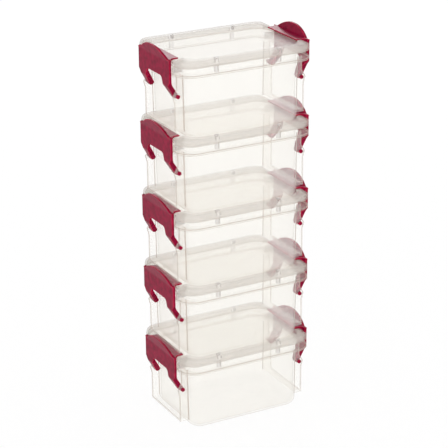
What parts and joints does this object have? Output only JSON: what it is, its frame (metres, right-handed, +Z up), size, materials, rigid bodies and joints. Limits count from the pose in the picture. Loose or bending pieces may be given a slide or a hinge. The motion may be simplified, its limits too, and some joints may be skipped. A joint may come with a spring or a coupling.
{
  "type": "stack of clip-lid storage boxes",
  "caption": "Stack of small clear storage boxes, each with a lid that nests the box above and two coloured snap handles that swing out on pegs.",
  "frame": {"origin": "on the floor, at the middle of the stack's footprint", "axes": "+Z up the stack, X along the boxes from handle to handle, Y across them"},
  "size_m": [0.0932, 0.06, 0.2317],
  "materials": {
    "clear_tub": "clear moulded polypropylene",
    "clear_lid": "clear moulded polypropylene",
    "handle_red": "deep red semi-gloss moulded plastic"
  },
  "bodies": {
    "tub_1": {"tub_1": "clear_tub"},
    "lid_1": {"lid_1": "clear_lid"},
    "handle_left_1": {"handle_left_1": "handle_red"},
    "handle_right_1": {"handle_right_1": "handle_red"},
    "tub_2": {"tub_2": "clear_tub"},
    "lid_2": {"lid_2": "clear_lid"},
    "handle_left_2": {"handle_left_2": "handle_red"},
    "handle_right_2": {"handle_right_2": "handle_red"},
    "tub_3": {"tub_3": "clear_tub"},
    "lid_3": {"lid_3": "clear_lid"},
    "handle_left_3": {"handle_left_3": "handle_red"},
    "handle_right_3": {"handle_right_3": "handle_red"},
    "tub_4": {"tub_4": "clear_tub"},
    "lid_4": {"lid_4": "clear_lid"},
    "handle_left_4": {"handle_left_4": "handle_red"},
    "handle_right_4": {"handle_right_4": "handle_red"},
    "tub_5": {"tub_5": "clear_tub"},
    "lid_5": {"lid_5": "clear_lid"},
    "handle_left_5": {"handle_left_5": "handle_red"},
    "handle_right_5": {"handle_right_5": "handle_red"}
  },
  "joints": [
    {"name": "handle_right_1_turn", "type": "hinge", "parent": "tub_1", "child": "handle_right_1", "pos_m": [0.0398, 0, 0.0248], "axis": [0, 1, 0], "range_deg": [0, 110]},
    {"name": "handle_left_1_turn", "type": "hinge", "parent": "tub_1", "child": "handle_left_1", "pos_m": [-0.0398, 0, 0.0248], "axis": [0, -1, 0], "range_deg": [0, 110]},
    {"name": "lid_1_lift", "type": "slide", "parent": "tub_1", "child": "lid_1", "axis": [0, 0, 1], "range_m": [0, 0.0038]},
    {"name": "tub_2_lift", "type": "slide", "parent": "lid_1", "child": "tub_2", "axis": [0, 0, 1], "range_m": [0, 0.015]},
    {"name": "handle_right_2_turn", "type": "hinge", "parent": "tub_2", "child": "handle_right_2", "pos_m": [0.0398, 0, 0.0698], "axis": [0, 1, 0], "range_deg": [0, 110]},
    {"name": "handle_left_2_turn", "type": "hinge", "parent": "tub_2", "child": "handle_left_2", "pos_m": [-0.0398, 0, 0.0698], "axis": [0, -1, 0], "range_deg": [0, 110]},
    {"name": "lid_2_lift", "type": "slide", "parent": "tub_2", "child": "lid_2", "axis": [0, 0, 1], "range_m": [0, 0.0038]},
    {"name": "tub_3_lift", "type": "slide", "parent": "lid_2", "child": "tub_3", "axis": [0, 0, 1], "range_m": [0, 0.015]},
    {"name": "handle_right_3_turn", "type": "hinge", "parent": "tub_3", "child": "handle_right_3", "pos_m": [0.0398, 0, 0.1148], "axis": [0, 1, 0], "range_deg": [0, 110]},
    {"name": "handle_left_3_turn", "type": "hinge", "parent": "tub_3", "child": "handle_left_3", "pos_m": [-0.0398, 0, 0.1148], "axis": [0, -1, 0], "range_deg": [0, 110]},
    {"name": "lid_3_lift", "type": "slide", "parent": "tub_3", "child": "lid_3", "axis": [0, 0, 1], "range_m": [0, 0.0038]},
    {"name": "tub_4_lift", "type": "slide", "parent": "lid_3", "child": "tub_4", "axis": [0, 0, 1], "range_m": [0, 0.015]},
    {"name": "handle_right_4_turn", "type": "hinge", "parent": "tub_4", "child": "handle_right_4", "pos_m": [0.0398, 0, 0.1598], "axis": [0, 1, 0], "range_deg": [0, 110]},
    {"name": "handle_left_4_turn", "type": "hinge", "parent": "tub_4", "child": "handle_left_4", "pos_m": [-0.0398, 0, 0.1598], "axis": [0, -1, 0], "range_deg": [0, 110]},
    {"name": "lid_4_lift", "type": "slide", "parent": "tub_4", "child": "lid_4", "axis": [0, 0, 1], "range_m": [0, 0.0038]},
    {"name": "tub_5_lift", "type": "slide", "parent": "lid_4", "child": "tub_5", "axis": [0, 0, 1], "range_m": [0, 0.015]},
    {"name": "handle_right_5_turn", "type": "hinge", "parent": "tub_5", "child": "handle_right_5", "pos_m": [0.0398, 0, 0.2048], "axis": [0, 1, 0], "range_deg": [0, 110]},
    {"name": "handle_left_5_turn", "type": "hinge", "parent": "tub_5", "child": "handle_left_5", "pos_m": [-0.0398, 0, 0.2048], "axis": [0, -1, 0], "range_deg": [0, 110]},
    {"name": "lid_5_lift", "type": "slide", "parent": "tub_5", "child": "lid_5", "axis": [0, 0, 1], "range_m": [0, 0.0038]}
  ],
  "couplings": [
    {"joint": "handle_left_1_turn", "follows": "lid_1_lift", "rad_per_m": 500},
    {"joint": "handle_right_1_turn", "follows": "lid_1_lift", "rad_per_m": 500},
    {"joint": "handle_left_2_turn", "follows": "lid_2_lift", "rad_per_m": 500},
    {"joint": "handle_right_2_turn", "follows": "lid_2_lift", "rad_per_m": 500},
    {"joint": "handle_left_3_turn", "follows": "lid_3_lift", "rad_per_m": 500},
    {"joint": "handle_right_3_turn", "follows": "lid_3_lift", "rad_per_m": 500},
    {"joint": "handle_left_4_turn", "follows": "lid_4_lift", "rad_per_m": 500},
    {"joint": "handle_right_4_turn", "follows": "lid_4_lift", "rad_per_m": 500},
    {"joint": "handle_left_5_turn", "follows": "lid_5_lift", "rad_per_m": 500},
    {"joint": "handle_right_5_turn", "follows": "lid_5_lift", "rad_per_m": 500}
  ]
}
